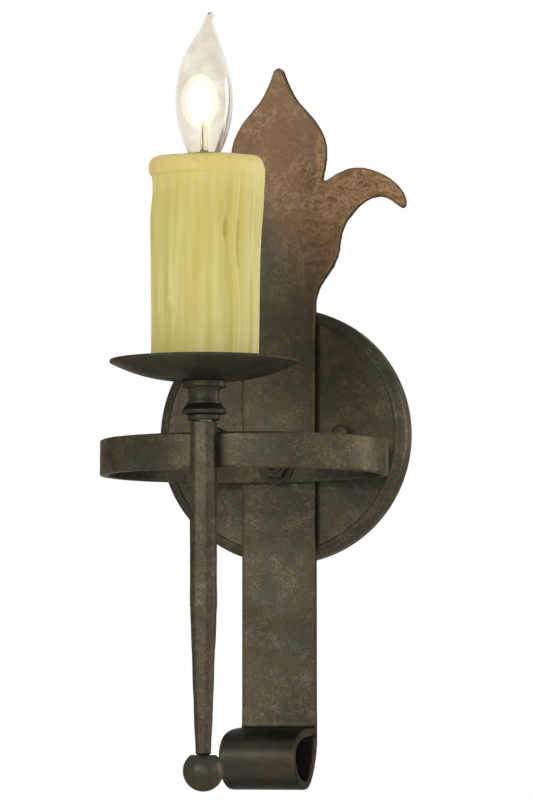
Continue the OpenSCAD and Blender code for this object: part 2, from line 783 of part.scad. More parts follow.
module bulb_filament() {
    wire_r = 0.35;
    knot_r = wire_r * 1.3;
    top = [0, 0, glass_h * 0.55];
    color([0.98, 0.86, 0.62]) translate([0, torch_y, glass_z]) {
        for (side = [-1, 1]) {
            foot = [side * mount_r / 2, 0, mount_h];
            shoulder = [side * glass_d * 0.145, 0, glass_h * 0.44];
            rod(foot, shoulder, wire_r);
            rod(shoulder, top, wire_r);
            translate(shoulder) sphere(r = knot_r, $fn = 16);
        }
        translate(top) sphere(r = knot_r, $fn = 16);
    }
}

// Hollow wax-coloured sleeve with a rolled lip; it stands in the pan and lifts off
module candle_cover() {
    foot = candle_d / 2;
    lip = candle_lip_d / 2;
    inner = foot - candle_wall;
    hole = candle_hole_d / 2;
    edge = 1;
    over = lip - foot;
    melt = candle_h * 0.19;
    foot_z = seat_z + pan_rise(foot) + slip;
    top = candle_top_z;
    outer = concat(
        bezier([[foot, foot_z], [foot + over * 0.15, top - melt * 2.5],
            [foot + over * 0.45, top - melt * 1.42], [foot + over * 0.53, top - melt]], 8),
        rest(bezier([[foot + over * 0.53, top - melt], [foot + over * 0.6, top - melt * 0.8],
            [lip, top - melt * 0.59], [lip, top - melt * 0.34]], 8)),
        rest(bezier([[lip, top - melt * 0.34], [lip, top - melt * 0.13],
            [lip * 0.92, top - melt * 0.04], [lip * 0.845, top - melt * 0.02]], 8)),
        [[hole + edge, top], [hole, top - edge]]);
    color(wax) translate([0, torch_y, 0]) rotate_extrude($fn = 120) polygon(concat(outer,
        [[hole, top - candle_roof], [inner, top - candle_roof - candle_wall],
            [inner, foot_z]]));
}

mounting_plate();
mounting_studs();
stud_nuts();
ground_screw();
canopy();
cap_nut_left();
cap_nut_right();
strap();
strap_screws();
ring_band();
ring_nipple();
canopy_washer();
canopy_nut();
ring_washer();
ring_nut();
torch_stem();
stem_screw();
finial_ball();
turned_collar();
stem_nipple();
drip_pan();
pan_nut();
bracket_nut();
socket_bracket();
socket_rivet();
socket_body();
socket_shell();
socket_contact();
candle_cover();
bulb_base();
bulb_insulator();
bulb_contact();
bulb_glass();
bulb_mount();
bulb_filament();
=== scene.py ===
import json
import math
from types import SimpleNamespace

import bmesh
import bpy
import numpy as np
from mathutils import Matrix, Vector, noise

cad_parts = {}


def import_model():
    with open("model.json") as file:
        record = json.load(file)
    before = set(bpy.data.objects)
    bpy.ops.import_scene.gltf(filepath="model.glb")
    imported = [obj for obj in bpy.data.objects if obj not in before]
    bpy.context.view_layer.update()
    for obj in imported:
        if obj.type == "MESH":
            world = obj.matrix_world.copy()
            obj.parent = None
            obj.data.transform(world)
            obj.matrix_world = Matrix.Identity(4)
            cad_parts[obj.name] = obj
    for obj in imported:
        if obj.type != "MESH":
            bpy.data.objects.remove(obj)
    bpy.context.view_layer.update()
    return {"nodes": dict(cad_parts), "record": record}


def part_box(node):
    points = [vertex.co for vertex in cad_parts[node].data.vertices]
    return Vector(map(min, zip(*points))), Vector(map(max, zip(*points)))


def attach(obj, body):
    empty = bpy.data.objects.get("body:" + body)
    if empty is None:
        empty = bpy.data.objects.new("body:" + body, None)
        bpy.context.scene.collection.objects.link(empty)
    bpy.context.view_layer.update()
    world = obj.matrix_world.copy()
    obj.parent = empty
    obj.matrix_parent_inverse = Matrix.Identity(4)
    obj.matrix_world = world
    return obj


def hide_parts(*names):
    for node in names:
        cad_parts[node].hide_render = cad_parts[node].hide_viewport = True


# Looks of the torch sconce. Metres: the wall is the plane Y = 0, the room is towards -Y and Z is up.
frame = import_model()
MM = 0.001


# ------------------------------------------------------------------ the frame's own sizes

def middle(node):
    low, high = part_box(node)
    return (low + high) / 2


TORCH = Vector((0, middle("drip_pan").y, 0))            # the torch's axis
CANDLE_LOW, CANDLE_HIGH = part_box("candle_cover")
GLASS_LOW, GLASS_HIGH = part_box("bulb_glass")
CURL_TOP = -170 * MM                                    # the strap's curled foot lies below


# --------------------------------------------------------------------------- mesh helpers

def bezier(p0, p1, p2, p3, count=12):
    """Points of a cubic curve, as rows of an array."""
    t = np.linspace(0, 1, count + 1)[:, None]
    p0, p1, p2, p3 = (np.array(p, float) for p in (p0, p1, p2, p3))
    return (1 - t) ** 3 * p0 + 3 * (1 - t) ** 2 * t * p1 + 3 * (1 - t) * t * t * p2 + t ** 3 * p3


def chained(*curves):
    """Curves joined end to end, without their doubled points."""
    return np.vstack([curves[0]] + [c[1:] for c in curves[1:]])


def smoothstep(low, high, x):
    t = np.clip((x - low) / (high - low), 0, 1)
    return t * t * (3 - 2 * t)


def dress(piece, body, material, replaced=()):
    """Gives a piece its material and its body, and the CAD nodes that it stands for."""
    piece.data.materials.clear()
    piece.data.materials.append(material)
    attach(piece, body)
    if replaced:
        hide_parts(*replaced)
    return piece


def add_piece(name, points, faces, body, material, replaced=()):
    """A new smooth-shaded mesh that rides on a body and stands for CAD nodes."""
    mesh = bpy.data.meshes.new(name)
    mesh.from_pydata([tuple(p) for p in points], [], faces)
    mesh.validate()
    mesh.shade_smooth()
    piece = bpy.data.objects.new(name, mesh)
    bpy.context.scene.collection.objects.link(piece)
    return dress(piece, body, material, replaced)


def tube_faces(rings, sides, joined):
    """Quads between rings of points; joined also links the last ring to the first."""
    faces = []
    for ring in range(rings if joined else rings - 1):
        a, b = ring * sides, (ring + 1) % rings * sides
        for k in range(sides):
            n = (k + 1) % sides
            faces.append((a + k, a + n, b + n, b + k))
    if not joined:
        faces.append(tuple(range(sides))[::-1])
        faces.append(tuple(range((rings - 1) * sides, rings * sides)))
    return faces


def around(profile, sides, centre=TORCH):
    """Rings of points about a vertical axis from rows of (radius, height), and the sides' azimuths."""
    azimuth = np.linspace(0, 2 * np.pi, sides, endpoint=False)
    r, z = profile[:, 0:1], profile[:, 1:2]
    x = centre.x + r * np.sin(azimuth)
    y = centre.y - r * np.cos(azimuth)
    return np.stack([x, y, np.broadcast_to(z, x.shape)], axis=-1), azimuth


# ------------------------------------------------------------------------- forged surfaces

EASED_PULL = 0.5                                        # how far a point moves towards its neighbours
CRISP_PULL = 0.1
CRISP_FADE = 10 * MM
NOWHERE = -1.0                                          # a height below the whole part


def even_copy(node, voxel):
    """A copy of a CAD node's mesh made of small even faces."""
    piece = bpy.data.objects.new(node + "_forged", frame["nodes"][node].data.copy())
    bpy.context.scene.collection.objects.link(piece)
    shape = bmesh.new()
    shape.from_mesh(piece.data)
    bmesh.ops.remove_doubles(shape, verts=shape.verts, dist=1e-6)
    shape.to_mesh(piece.data)
    shape.free()
    even = piece.modifiers.new("even", "REMESH")
    even.mode = "VOXEL"
    even.voxel_size = voxel
    graph = bpy.context.evaluated_depsgraph_get()
    piece.data = bpy.data.meshes.new_from_object(piece.evaluated_get(graph))
    piece.modifiers.clear()
    return piece


def rows_of(collection, attribute, width, kind=float):
    """One attribute of a mesh's points or edges, as rows of an array."""
    values = np.zeros(len(collection) * width, kind)
    collection.foreach_get(attribute, values)
    return values.reshape(-1, width)


def ease(mesh, rounds, crisp_below):
    """Rounds the edges by moving each point towards the middle of its neighbours, less so low down."""
    points = rows_of(mesh.vertices, "co", 3)
    edges = rows_of(mesh.edges, "vertices", 2, int)
    eased = smoothstep(crisp_below, crisp_below + CRISP_FADE, points[:, 2:3])
    share = CRISP_PULL + (EASED_PULL - CRISP_PULL) * eased
    count = len(points)
    ends = np.concatenate([edges[:, 0], edges[:, 1]])
    others = np.concatenate([edges[:, 1], edges[:, 0]])
    degree = np.bincount(ends, minlength=count)[:, None]
    for _ in range(rounds):
        total = np.stack([np.bincount(ends, weights=points[others, axis], minlength=count)
                          for axis in range(3)], axis=1)
        points = points + share * (total / degree - points)
    mesh.vertices.foreach_set("co", points.ravel())
    mesh.update()


def hammer(mesh, relief, flat):
    """Moves each point along its normal by relief(point), in metres. A flat bar is struck on its front
    and back only."""
    points = rows_of(mesh.vertices, "co", 3)
    normals = rows_of(mesh.vertices, "normal", 3)
    lift = np.array([relief(Vector(p)) for p in points])
    if flat:
        lift = lift * np.abs(normals[:, 1])
    points += normals * lift[:, None]
    mesh.vertices.foreach_set("co", points.ravel())
    mesh.update()


def wander(point, size):
    """A vector of three different noises, that the marks of a hammer are bent by."""
    shifts = (Vector((0, 0, 0)), Vector((7.3, 1.9, 4.1)), Vector((2.7, 9.4, 6.2)))
    return Vector([noise.noise(point / size + shift) for shift in shifts])


def dents(point, size):
    """Shallow hammer marks: 0 in a mark's middle, rising to 1 on the ridges between marks."""
    near = noise.voronoi(point / size)[0]
    return min(near[0] / max(near[1], 1e-6), 1)


def forged(node, voxel, rounds, relief, material, crisp_below=NOWHERE, flat=False):
    """An iron node of the fixture made again with eased edges and an uneven surface."""
    piece = even_copy(node, voxel)
    ease(piece.data, rounds, crisp_below)
    hammer(piece.data, relief, flat)
    piece.data.shade_smooth()
    return dress(piece, "fixture", material, [node])


# ------------------------------------------------------------------------- material graphs

def srgb(red, green, blue):
    """A colour as it looks on screen, 0 to 255, in the linear values that shaders take."""
    shares = [c / 255 for c in (red, green, blue)]
    return (*(((c + 0.055) / 1.055) ** 2.4 if c > 0.04 else c / 12.92 for c in shares), 1)


class Graph:
    """A material's node tree, with a short call for each kind of node."""

    def __init__(self, name):
        self.material = bpy.data.materials.new(name)
        self.material.use_nodes = True
        self.tree = self.material.node_tree
        self.tree.nodes.clear()
        self.shader = self.node("BsdfPrincipled")
        self.feed(self.node("OutputMaterial").inputs["Surface"], self.shader.outputs[0])
        self.place = self.node("TexCoord").outputs["Object"]

    def node(self, kind, **settings):
        made = self.tree.nodes.new("ShaderNode" + kind)
        for key, value in settings.items():
            setattr(made, key, value)
        return made

    def feed(self, socket, value):
        """Links a socket to another node's output, or sets it to a constant."""
        if isinstance(value, bpy.types.NodeSocket):
            self.tree.links.new(value, socket)
        else:
            socket.default_value = value

    def set(self, **values):
        """Feeds the shader's sockets, whose names have underscores for spaces here."""
        for key, value in values.items():
            self.feed(self.shader.inputs[key.replace("_", " ")], value)

    def moved(self, shift=(0, 0, 0), scale=(1, 1, 1)):
        """Another place for a noise: shifted, so that two noises differ, or drawn out along an axis."""
        made = self.node("Mapping")
        self.feed(made.inputs["Vector"], self.place)
        made.inputs["Location"].default_value = shift
        made.inputs["Scale"].default_value = scale
        return made.outputs["Vector"]

    def noise(self, size, detail=4, roughness=0.6, place=None, distortion=0):
        """Soft noise whose blots are about size metres across."""
        made = self.node("TexNoise")
        self.feed(made.inputs["Vector"], place or self.place)
        made.inputs["Scale"].default_value = 1 / size
        made.inputs["Detail"].default_value = detail
        made.inputs["Roughness"].default_value = roughness
        made.inputs["Distortion"].default_value = distortion
        return made.outputs["Fac"]

    def ramp(self, value, *stops):
        """Turns a value into numbers or colours, from stops of (value, number or colour)."""
        made = self.node("ValToRGB")
        self.feed(made.inputs["Fac"], value)
        elements = made.color_ramp.elements
        while len(elements) < len(stops):
            elements.new(1)
        for element, (position, colour) in zip(elements, stops):
            element.position = position
            element.color = colour if isinstance(colour, tuple) else (colour, colour, colour, 1)
        return made.outputs["Color"]

    def mix(self, factor, a, b, blend="MIX"):
        made = self.node("Mix", data_type="RGBA", blend_type=blend)
        for index, value in ((0, factor), (6, a), (7, b)):
            self.feed(made.inputs[index], value)
        return made.outputs[2]

    def math(self, operation, *values, clamp=True):
        made = self.node("Math", operation=operation, use_clamp=clamp)
        for socket, value in zip(made.inputs, values):
            self.feed(socket, value)
        return made.outputs[0]

    def total(self, first, *others):
        for other in others:
            first = self.math("ADD", first, other)
        return first

    def product(self, first, *others):
        for other in others:
            first = self.math("MULTIPLY", first, other)
        return first

    def inverse(self, value):
        return self.math("SUBTRACT", 1.0, value)

    def part(self, vector, axis):
        made = self.node("SeparateXYZ")
        self.feed(made.inputs[0], vector)
        return made.outputs[axis]

    def fade(self, value, low, high):
        """0 at or below low, 1 at or above high, softly between them."""
        made = self.node("MapRange", interpolation_type="SMOOTHSTEP")
        self.feed(made.inputs["Value"], value)
        made.inputs["From Min"].default_value = low
        made.inputs["From Max"].default_value = high
        return made.outputs["Result"]

    def height(self, low, high, axis="Z"):
        """0 at or below low, 1 at or above high, along an axis of the frame."""
        return self.fade(self.part(self.place, axis), low, high)

    def valley(self, low, high, slant, centre):
        """Like height, but both bounds fall by slant for each metre away from the upright X = centre."""
        aside = self.math("SUBTRACT", self.part(self.place, "X"), centre, clamp=False)
        away = self.math("ABSOLUTE", aside, clamp=False)
        level = self.math("MULTIPLY_ADD", away, slant, self.part(self.place, "Z"), clamp=False)
        return self.fade(level, low, high)

    def cut_side(self):
        """1 on the faces that a flat bar was cut along, 0 on its front and back."""
        normal = self.node("TexCoord").outputs["Normal"]
        facing = self.math("ABSOLUTE", self.part(normal, "Y"), clamp=False)
        return self.ramp(facing, (0.50, 1.0), (0.76, 0.0))

    def pointed(self):
        """0.5 where the surface is flat, more on its edges and ridges, less in its hollows."""
        return self.node("NewGeometry").outputs["Pointiness"]

    def bump(self, height, depth, strength=1.0, under=None):
        """Relief up to depth metres high, on top of the relief under it."""
        made = self.node("Bump")
        self.feed(made.inputs["Height"], height)
        made.inputs["Distance"].default_value = depth
        made.inputs["Strength"].default_value = strength
        if under is not None:
            self.feed(made.inputs["Normal"], under)
        return made.outputs["Normal"]


# ------------------------------------------------------------------------------------ iron

IRON_PIT = srgb(34, 32, 26)
# dark patina in the hollows, and painted shade on the cut sides and painted shadow
IRON_HOLLOW_AND_SHADE = srgb(38, 33, 23)
IRON_BLACK = srgb(43, 41, 34)
IRON_GREY = srgb(58, 56, 48)
IRON_BROWN = srgb(66, 59, 46)
IRON_COPPER = srgb(90, 68, 49)
IRON_BRIGHT = srgb(138, 107, 76)                        # rubbed copper, and the painted highlight on the right edge
IRON_PALE = srgb(108, 98, 78)                           # specks
IRON_GOLD = srgb(106, 90, 62)                           # rubbed corners
IRON_SHEEN = srgb(165, 160, 148)                        # how a surface seen at a slant mirrors

COPPER_SLANT = 1.6                                      # the wings are copper further down
COPPER_MIDDLE = -10 * MM
BRIGHT_RISE = (112 * MM, 140 * MM)                      # heights between which the rubbing and the painted highlight grow to full
HIGHLIGHT_RIGHT = (20 * MM, 28 * MM)                       # the painted highlight on the leaf's right edge


def iron_patterns(g):
    """The noises that all stages of the finish share, so that its colour, gloss and relief agree."""
    return SimpleNamespace(
        blots=g.noise(13 * MM, 6, 0.62, distortion=0.3),
        patches=g.noise(17 * MM, 5, 0.66, place=g.moved((0.31, 0.12, 0.74))),
        specks=g.noise(2.6 * MM, 4, 0.72, place=g.moved((0.81, 0.42, 0.05)), distortion=0.8),
        grain=g.noise(0.9 * MM, 3, 0.6),
        pores=g.noise(1.6 * MM, 4, 0.7, place=g.moved((0.11, 0.52, 0.23))))


def clouded(g, on):
    """Soft clouds of grey, brown and black."""
    tone = g.mix(g.ramp(on.blots, (0.38, 0.0), (0.62, 1.0)), IRON_GREY, IRON_BROWN)
    clouds = g.noise(46 * MM, 3, 0.55)
    return g.mix(g.ramp(clouds, (0.36, 0.55), (0.54, 0.0)), tone, IRON_BLACK)


def coppered(g, on, clusters, tone, heights):
    """Turns copper above heights that are lower at the sides. Its ridges and its freckles are rubbed bright
    and the right edge gets a painted highlight, all less so low down, and its hollows stay dark."""
    above = g.valley(*heights, COPPER_SLANT, COPPER_MIDDLE)
    heat = g.product(above, g.ramp(on.blots, (0.30, 0.55), (0.56, 1.0)))
    tone = g.mix(heat, tone, IRON_COPPER)
    ridges = g.ramp(g.pointed(), (0.50, 0.0), (0.55, 0.5))
    freckles = g.product(g.ramp(on.specks, (0.48, 0.0), (0.62, 0.6)), clusters)
    # Painted highlight on the right edge.
    right = g.product(g.height(*HIGHLIGHT_RIGHT, "X"), g.ramp(on.specks, (0.40, 0.15), (0.58, 0.75)))
    rise = g.ramp(g.height(*BRIGHT_RISE), (0.0, 0.3), (1.0, 1.0))
    tone = g.mix(g.product(g.total(ridges, freckles, right), rise, heat), tone, IRON_BRIGHT)
    hollows = g.ramp(g.pointed(), (0.44, 0.35), (0.49, 0.0))
    return g.mix(g.product(heat, hollows), tone, IRON_HOLLOW_AND_SHADE)


def speckled(g, on, clusters, tone, dust):
    """Pale specks and grain that gather in clusters, and dark pores."""
    specks = g.ramp(on.specks, (0.47, 0.0), (0.62, 0.42 * dust))
    grain = g.ramp(on.grain, (0.46, 0.0), (0.66, 0.40 * dust))
    tone = g.mix(g.product(specks, clusters), tone, IRON_PALE)
    tone = g.mix(g.product(grain, clusters), tone, IRON_PALE)
    return g.mix(g.ramp(on.pores, (0.32, 0.5), (0.47, 0.0)), tone, IRON_PIT)


def shadow_painted(g, on, tone, heights, right):
    """Painted shadow from the first to the second height, fading up to the third and, if given, to the right.
    """
    low, high, end = heights
    painted_shadow = g.product(g.inverse(g.height(high, end)), g.height(low, high))
    if right:
        painted_shadow = g.product(painted_shadow, g.inverse(g.height(*right, "X")))
    return g.mix(g.product(painted_shadow, g.ramp(on.blots, (0.35, 0.75), (0.65, 0.45))), tone, IRON_HOLLOW_AND_SHADE)


def cornered(g, on, tone, rubbed):
    """Corners rubbed to gold here and there."""
    corners = g.ramp(g.pointed(), (0.515, 0.0), (0.57, rubbed))
    return g.mix(g.product(corners, g.ramp(on.blots, (0.35, 0.15), (0.6, 1.0))), tone, IRON_GOLD)


def iron(name, shade=1.0, dust=1.0, polish=0.0, corners=0.0, copper=None, painted_shadow=None, shadow_right=None,
         smooth_below=None):
    """Blackened iron, waxed and rubbed. shade darkens it, dust is how strong its specks are, polish is
    how much glossier it is, and corners how far its corners are rubbed. copper and painted_shadow are
    heights, see coppered and shadow_painted. Below smooth_below it has no specks."""
    g = Graph(name)
    on = iron_patterns(g)
    clusters = g.ramp(on.patches, (0.42, 0.15), (0.62, 1.0))
    tone = clouded(g, on)
    if copper:
        tone = coppered(g, on, clusters, tone, copper)
    if smooth_below is not None:
        clusters = g.product(clusters, g.height(smooth_below - 8 * MM, smooth_below))
    tone = speckled(g, on, clusters, tone, dust)
    # Painted shadow of the candle and the drip pan.
    if painted_shadow:
        tone = shadow_painted(g, on, tone, painted_shadow, shadow_right)
    if corners:
        tone = cornered(g, on, tone, corners)
    # Painted shade: with copper, the cut sides of the bar are darkened.
    if copper:
        tone = g.mix(g.product(g.cut_side(), 0.85), tone, IRON_HOLLOW_AND_SHADE)
    if shade != 1:
        tone = g.mix(1.0, tone, (shade, shade, shade, 1), "MULTIPLY")
    worn = g.total(g.product(on.blots, 0.6), g.product(on.pores, 0.4))
    fine = g.bump(on.specks, 0.10 * MM, 0.5, g.bump(on.grain, 0.04 * MM, 0.5))
    g.set(Base_Color=tone, Metallic=g.ramp(on.patches, (0.3, 0.9), (0.7, 0.7)),
          Roughness=g.ramp(worn, (0.32, 0.36 - polish), (0.66, 0.50 - polish)),
          Specular_IOR_Level=0.3, Specular_Tint=IRON_SHEEN, Normal=g.bump(on.blots, 0.22 * MM, 0.5, fine))
    return g.material


# ------------------------------------------------------------------- wax, glass and fittings

WAX_DEEP, WAX_PLAIN, WAX_PALE = srgb(197, 184, 98), srgb(204, 192, 112), srgb(212, 203, 130)
WAX_OLD = srgb(200, 184, 100)
WAX_HOLLOW_SHADE = srgb(184, 172, 78)                          # painted shade in the hollows
WAX_BULB_LIGHT = srgb(226, 206, 128)                          # painted light of the bulb, near the flame
WAX_AMBER = srgb(216, 178, 100)                         # the left of the lip
TARNISH = srgb(120, 118, 110)
GLASS_GREY = srgb(231, 225, 210)
GLASS_CLEAR = srgb(252, 250, 244)


def plated(name, colour, roughness=0.3, tarnish=TARNISH):
    """Bright plated metal with faint tarnish and fine brushing."""
    g = Graph(name)
    dull = g.noise(6 * MM, 6, 0.65)
    brushed = g.noise(0.6 * MM, 4, 0.7, place=g.moved(scale=(1, 1, 0.15)))
    g.set(Base_Color=g.mix(g.ramp(dull, (0.45, 0.0), (0.75, 0.55)), colour, tarnish), Metallic=0.9,
          Roughness=g.ramp(dull, (0.3, roughness), (0.75, roughness + 0.25)),
          Normal=g.bump(brushed, 0.03 * MM, 0.5))
    return g.material


def moulded(name, colour, fleck, roughness):
    """Hard moulded or enamelled stuff with a faint cloud and grain in it."""
    g = Graph(name)
    cloud = g.noise(5 * MM, 6, 0.6)
    grain = g.noise(0.5 * MM, 4, 0.7)
    g.set(Base_Color=g.mix(g.ramp(cloud, (0.35, 0.0), (0.75, 0.6)), colour, fleck),
          Roughness=g.ramp(grain, (0.3, roughness), (0.7, roughness + 0.15)),
          Normal=g.bump(grain, 0.02 * MM, 0.4))
    return g.material


def wax():
    """Old candle wax: pale green-yellow, softly streaked down its length, amber at its melted lip."""
    g = Graph("candle_wax")
    top = CANDLE_HIGH.z
    streaks = g.noise(6 * MM, 4, 0.5, place=g.moved(scale=(1, 1, 0.09)))
    clouds = g.noise(26 * MM, 4, 0.5)
    grain = g.noise(1.6 * MM, 4, 0.6)
    tone = g.ramp(streaks, (0.34, WAX_DEEP), (0.50, WAX_PLAIN), (0.66, WAX_PALE))
    tone = g.mix(g.ramp(clouds, (0.42, 0.0), (0.68, 0.35)), tone, WAX_OLD)
    # Painted shade: the hollows are darker and greener.
    tone = g.mix(g.ramp(g.pointed(), (0.43, 0.8), (0.49, 0.0)), tone, WAX_HOLLOW_SHADE)
    # Painted light: the top is lighter and warmer, as if lit by the bulb.
    tone = g.mix(g.product(g.height(top - 30 * MM, top - 3 * MM), 0.7), tone, WAX_BULB_LIGHT)
    lip = g.height(top - 16 * MM, top - 8 * MM)
    left = g.height(-12 * MM, -30 * MM, "X")
    tone = g.mix(g.product(lip, left, 0.8), tone, WAX_AMBER)
    g.set(Base_Color=tone, Roughness=g.ramp(grain, (0.3, 0.42), (0.7, 0.55)), Specular_IOR_Level=0.3,
          Subsurface_Weight=0.3, Subsurface_Scale=4 * MM, Subsurface_Radius=(1.0, 0.8, 0.35),
          Normal=g.bump(streaks, 0.25 * MM, 0.4, g.bump(grain, 0.04 * MM, 0.4)))
    return g.material


def glass():
    """Clear blown glass, a little grey and rippled."""
    g = Graph("clear_glass")
    ripple = g.noise(14 * MM, 3, 0.5)
    g.set(Base_Color=g.ramp(ripple, (0.3, GLASS_GREY), (0.7, GLASS_CLEAR)), Transmission_Weight=1.0, IOR=1.45,
          Roughness=g.ramp(ripple, (0.3, 0.03), (0.7, 0.06)), Normal=g.bump(ripple, 0.1 * MM, 0.3))
    return g.material


def filament():
    """Wire at full heat."""
    g = Graph("filament")
    heat = g.noise(2 * MM, 3)
    g.set(Base_Color=g.ramp(heat, (0.3, srgb(255, 214, 150)), (0.7, srgb(255, 236, 196))), Roughness=0.5,
          Emission_Color=srgb(255, 236, 200), Emission_Strength=30.0)
    return g.material


def glow(name, alpha):
    """See-through dazzle."""
    g = Graph(name)
    heat = g.noise(9 * MM, 3)
    g.set(Base_Color=g.ramp(heat, (0.3, srgb(255, 250, 240)), (0.7, srgb(255, 253, 248))), Roughness=0.6,
          Specular_IOR_Level=0.0, Alpha=alpha, Emission_Color=srgb(255, 251, 243), Emission_Strength=1.0)
    return g.material


MATERIALS = {
    "iron_patina": iron("iron_patina"),
    "dark_iron": iron("dark_iron", shade=0.76, dust=0.2),
    "zinc_steel": plated("zinc_steel", srgb(186, 186, 180)),
    "ground_green": moulded("ground_green", srgb(28, 116, 60), srgb(16, 84, 42), 0.3),
    "brass": plated("brass", srgb(196, 160, 88), 0.25, srgb(120, 92, 52)),
    "socket_black": moulded("socket_black", srgb(34, 31, 29), srgb(52, 47, 43), 0.35),
    "candle_wax": wax(),
    "black_glass": moulded("black_glass", srgb(18, 18, 24), srgb(34, 32, 44), 0.12),
    "solder": plated("solder", srgb(168, 170, 172), 0.4),
    "clear_glass": glass(),
    "filament": filament(),
}
OWN_IRON = {                                            # nodes whose iron differs from their slot's
    "finial_ball": iron("iron_rubbed", dust=0.25, polish=0.04),
    "drip_pan": iron("iron_pan", shade=1.08, dust=0.2),
    # The canopy has a painted shadow of the candle and the drip pan, fading to the right.
    "canopy": iron("iron_plate", painted_shadow=(0, 40 * MM, 130 * MM), shadow_right=(32 * MM, 66 * MM)),
}


def dress_cad_nodes():
    """Every carried-over node takes the material of its slot in the record, or its own iron."""
    slot_of = {row["node"]: row["material_slot"] for row in frame["record"]["subparts"]}
    for name, node in frame["nodes"].items():
        node.data.materials.clear()
        node.data.materials.append(OWN_IRON.get(name, MATERIALS[slot_of[name]]))


dress_cad_nodes()


# --------------------------------------------------------------------------- forged pieces

def strap_relief(p):
    """A flat bar below. The fleur is hammered, most of all in its wings and under them."""
    fleur = float(smoothstep(70 * MM, 100 * MM, p.z))
    aside = float(smoothstep(8 * MM, 22 * MM, abs(p.x)))
    wings = fleur * aside * (1 - float(smoothstep(150 * MM, 175 * MM, p.z)))
    bent = p + 2.5 * MM * wander(p, 11 * MM)
    marks = dents(bent, 10 * MM) - 0.5
    waves = noise.noise(p / (26 * MM)) + 0.4 * noise.noise(p / (9 * MM))
    ridges = noise.noise(Vector((p.x / 2.2, p.y, p.z)) / (4.5 * MM))
    face = 0.16 * marks * (0.3 + fleur) + 0.30 * waves * (0.15 + fleur)
    return (face + (0.8 * marks + 0.7 * ridges) * wings) * MM


def ring_relief(p):
    return (0.10 * noise.noise(p / (20 * MM)) + 0.05 * noise.noise(p / (7 * MM))) * MM


def stem_relief(p):
    return (0.16 * noise.noise(p / (16 * MM)) + 0.10 * noise.noise(p / (6 * MM)) - 0.3) * MM


# The strap has a painted shadow of the candle and the drip pan, between these heights.
heated_iron = iron("iron_heated", corners=0.4, copper=(106 * MM, 168 * MM), painted_shadow=(0, 45 * MM, 132 * MM),
                   smooth_below=CURL_TOP)
rubbed_iron = iron("iron_forged", corners=0.35)
forged("strap", 1.0 * MM, 4, strap_relief, heated_iron, crisp_below=CURL_TOP, flat=True)
forged("ring_band", 0.9 * MM, 2, ring_relief, rubbed_iron)
forged("torch_stem", 0.8 * MM, 3, stem_relief, rubbed_iron)


# -------------------------------------------------------------------------------- the candle

CANDLE_FOOT = CANDLE_LOW.z
CANDLE_TOP = CANDLE_HIGH.z
CANDLE_LIP_R = (CANDLE_HIGH.x - CANDLE_LOW.x) / 2
CANDLE_R = 29.65 * MM                                   # at its foot
CANDLE_WALL = 3 * MM
CANDLE_HOLE_R = 14.5 * MM
CANDLE_ROUND = 30                                       # millimetres across for a radian of its side
CANDLE_SIDES = 360
RUN_COUNT = 24
RUN_DEPTH = 1.5 * MM
RUN_FLOOR = 0.95 * MM                                   # how far the wax between runs lies back
FRONT_SUNK = 2.6 * MM                                   # the front of the top has melted down
FRONT_SUNK_TOWARDS = math.radians(15)


def candle_outside():
    """Rows of (radius, height) from the foot to the hole in the top, and how many of them are the side."""
    top, lip_r = CANDLE_TOP, CANDLE_LIP_R
    swollen = CANDLE_R + 1.4 * MM                       # the radius under the lip
    body_top = top - 24 * MM
    heights = np.linspace(CANDLE_FOOT, body_top, 90)
    radii = np.interp(heights, [CANDLE_FOOT, top - 60 * MM, body_top],
                      [CANDLE_R, CANDLE_R + 0.5 * MM, swollen])
    shoulder = bezier((swollen, body_top), (CANDLE_R + 1.6 * MM, top - 19 * MM),
                      (lip_r, top - 14 * MM), (lip_r, top - 8 * MM), 26)
    roll = bezier((lip_r, top - 8 * MM), (lip_r, top - 3.6 * MM),
                  (lip_r - 1.6 * MM, top - 1.3 * MM), (lip_r - 4.4 * MM, top - 0.7 * MM), 16)
    crown = bezier((lip_r - 4.4 * MM, top - 0.7 * MM), (lip_r - 8 * MM, top),
                   (CANDLE_HOLE_R + 4 * MM, top), (CANDLE_HOLE_R + MM, top), 14)
    body = np.stack([radii, heights], axis=1)
    return chained(body, shoulder, roll, crown), len(body) + len(shoulder) - 1


